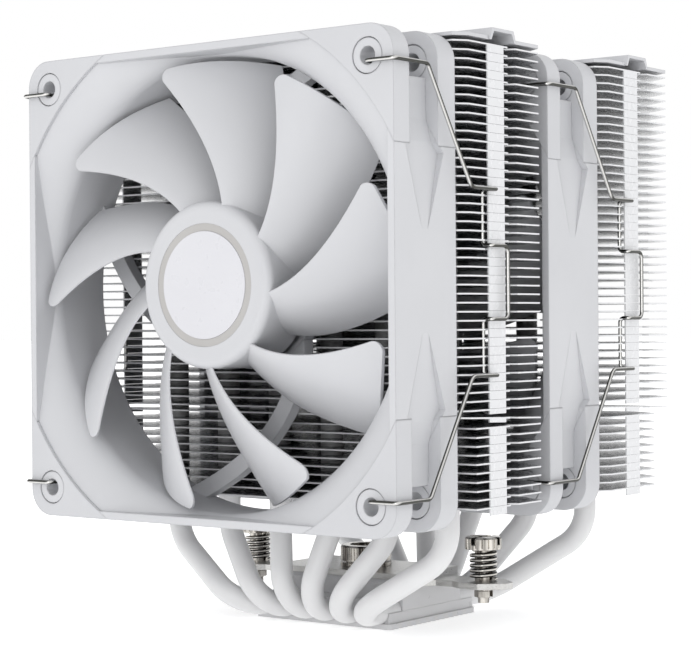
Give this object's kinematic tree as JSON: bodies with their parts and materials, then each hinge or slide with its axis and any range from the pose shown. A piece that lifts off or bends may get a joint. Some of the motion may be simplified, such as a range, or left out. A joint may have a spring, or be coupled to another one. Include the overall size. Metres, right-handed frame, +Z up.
{
  "type": "twin tower cpu cooler",
  "caption": "Air cooler for a processor: heat pipes from a cold plate rise through two fin towers, each with a 120 mm fan held by wire clips.",
  "frame": {"origin": "centre of the cold plate's contact face", "axes": "+Z up the towers, away from the processor; +Y the way the air flows, the front fan faces -Y; +X across the fans"},
  "size_m": [0.1278, 0.134, 0.1524],
  "materials": {
    "white_base": "satin white coat over plated metal",
    "white_bar": "satin white coat on a stamped steel bar",
    "white_pipe": "smooth satin white coat",
    "white_fin": "bright white coated sheet, mirror-like between the fins",
    "white_cover": "satin white coated sheet",
    "nickel": "bright nickel plating",
    "spring_steel": "bright drawn spring wire",
    "clip_wire": "bright drawn steel wire",
    "white_frame": "fine satin moulded plastic",
    "white_impeller": "smooth satin moulded plastic",
    "white_rubber": "matte silicone rubber",
    "grey_ring": "warm grey satin inlay",
    "hub_disc": "satin white label disc without print",
    "magnet": "moulded ferrite",
    "yoke_steel": "drawn steel cup",
    "shaft_steel": "ground steel",
    "lamination": "stacked silicon steel sheets",
    "winding": "enamelled copper wire",
    "circuit_board": "white solder mask",
    "bronze": "oil-filled sintered bronze"
  },
  "bodies": {
    "cooler": {"cold_plate": "white_base", "base_block": "white_base", "mounting_crossbar": "white_bar", "screw_spring_left": "spring_steel", "screw_spring_right": "spring_steel", "heat_pipe_1": "white_pipe", "heat_pipe_2": "white_pipe", "heat_pipe_3": "white_pipe", "heat_pipe_4": "white_pipe", "heat_pipe_5": "white_pipe", "heat_pipe_6": "white_pipe", "front_tower_upper_fins": "white_fin", "front_tower_lower_fins": "white_fin", "front_tower_top_cover": "white_cover", "front_fan_frame": "white_frame", "front_fan_corner_pads": "white_rubber", "front_fan_cable_gland": "white_rubber", "front_fan_stator_core": "lamination", "front_fan_stator_coils": "winding", "front_fan_circuit_board": "circuit_board", "front_fan_sleeve_bearing": "bronze", "rear_tower_upper_fins": "white_fin", "rear_tower_lower_fins": "white_fin", "rear_tower_top_cover": "white_cover", "rear_fan_frame": "white_frame", "rear_fan_corner_pads": "white_rubber", "rear_fan_cable_gland": "white_rubber", "rear_fan_stator_core": "lamination", "rear_fan_stator_coils": "winding", "rear_fan_circuit_board": "circuit_board", "rear_fan_sleeve_bearing": "bronze"},
    "front_rotor": {"front_fan_impeller": "white_impeller", "front_fan_hub_ring": "grey_ring", "front_fan_hub_disc": "hub_disc", "front_fan_rotor_magnet": "magnet", "front_fan_rotor_yoke": "yoke_steel", "front_fan_rotor_shaft": "shaft_steel"},
    "rear_rotor": {"rear_fan_impeller": "white_impeller", "rear_fan_hub_ring": "grey_ring", "rear_fan_hub_disc": "hub_disc", "rear_fan_rotor_magnet": "magnet", "rear_fan_rotor_yoke": "yoke_steel", "rear_fan_rotor_shaft": "shaft_steel"},
    "front_clip_left": {"front_fan_clip_left": "clip_wire"},
    "front_clip_right": {"front_fan_clip_right": "clip_wire"},
    "rear_clip_left": {"rear_fan_clip_left": "clip_wire"},
    "rear_clip_right": {"rear_fan_clip_right": "clip_wire"},
    "left_screw_slider": {"retaining_ring_left": "nickel"},
    "left_screw": {"mounting_screw_left": "nickel"},
    "right_screw_slider": {"retaining_ring_right": "nickel"},
    "right_screw": {"mounting_screw_right": "nickel"},
    "knob": {"crossbar_knob": "nickel"}
  },
  "joints": [
    {"name": "front_fan_spin", "type": "hinge", "parent": "cooler", "child": "front_rotor", "pos_m": [0, -0.068, 0.09], "axis": [0, -1, 0], "continuous": true},
    {"name": "rear_fan_spin", "type": "hinge", "parent": "cooler", "child": "rear_rotor", "pos_m": [0, -0.0008, 0.09], "axis": [0, -1, 0], "continuous": true},
    {"name": "front_clip_left_release", "type": "hinge", "parent": "cooler", "child": "front_clip_left", "pos_m": [-0.0525, -0.068, 0.09], "axis": [0, 0, 1], "range_deg": [0, 12]},
    {"name": "front_clip_right_release", "type": "hinge", "parent": "cooler", "child": "front_clip_right", "pos_m": [0.0525, -0.068, 0.09], "axis": [0, 0, -1], "range_deg": [0, 12]},
    {"name": "rear_clip_left_release", "type": "hinge", "parent": "cooler", "child": "rear_clip_left", "pos_m": [-0.0525, -0.0008, 0.09], "axis": [0, 0, 1], "range_deg": [0, 12]},
    {"name": "rear_clip_right_release", "type": "hinge", "parent": "cooler", "child": "rear_clip_right", "pos_m": [0.0525, -0.0008, 0.09], "axis": [0, 0, -1], "range_deg": [0, 12]},
    {"name": "left_screw_press", "type": "slide", "parent": "cooler", "child": "left_screw_slider", "axis": [0, 0, -1], "range_m": [0, 0.003], "stiffness_N_per_m": 3000, "springref_m": -0.001, "deforming": ["screw_spring_left"]},
    {"name": "left_screw_turn", "type": "hinge", "parent": "left_screw_slider", "child": "left_screw", "pos_m": [-0.0387, 0, 0.015], "axis": [0, 0, 1], "continuous": true},
    {"name": "right_screw_press", "type": "slide", "parent": "cooler", "child": "right_screw_slider", "axis": [0, 0, -1], "range_m": [0, 0.003], "stiffness_N_per_m": 3000, "springref_m": -0.001, "deforming": ["screw_spring_right"]},
    {"name": "right_screw_turn", "type": "hinge", "parent": "right_screw_slider", "child": "right_screw", "pos_m": [0.0387, 0, 0.015], "axis": [0, 0, 1], "continuous": true},
    {"name": "knob_turn", "type": "hinge", "parent": "cooler", "child": "knob", "pos_m": [0, 0, 0.015], "axis": [0, 0, 1], "continuous": true}
  ]
}
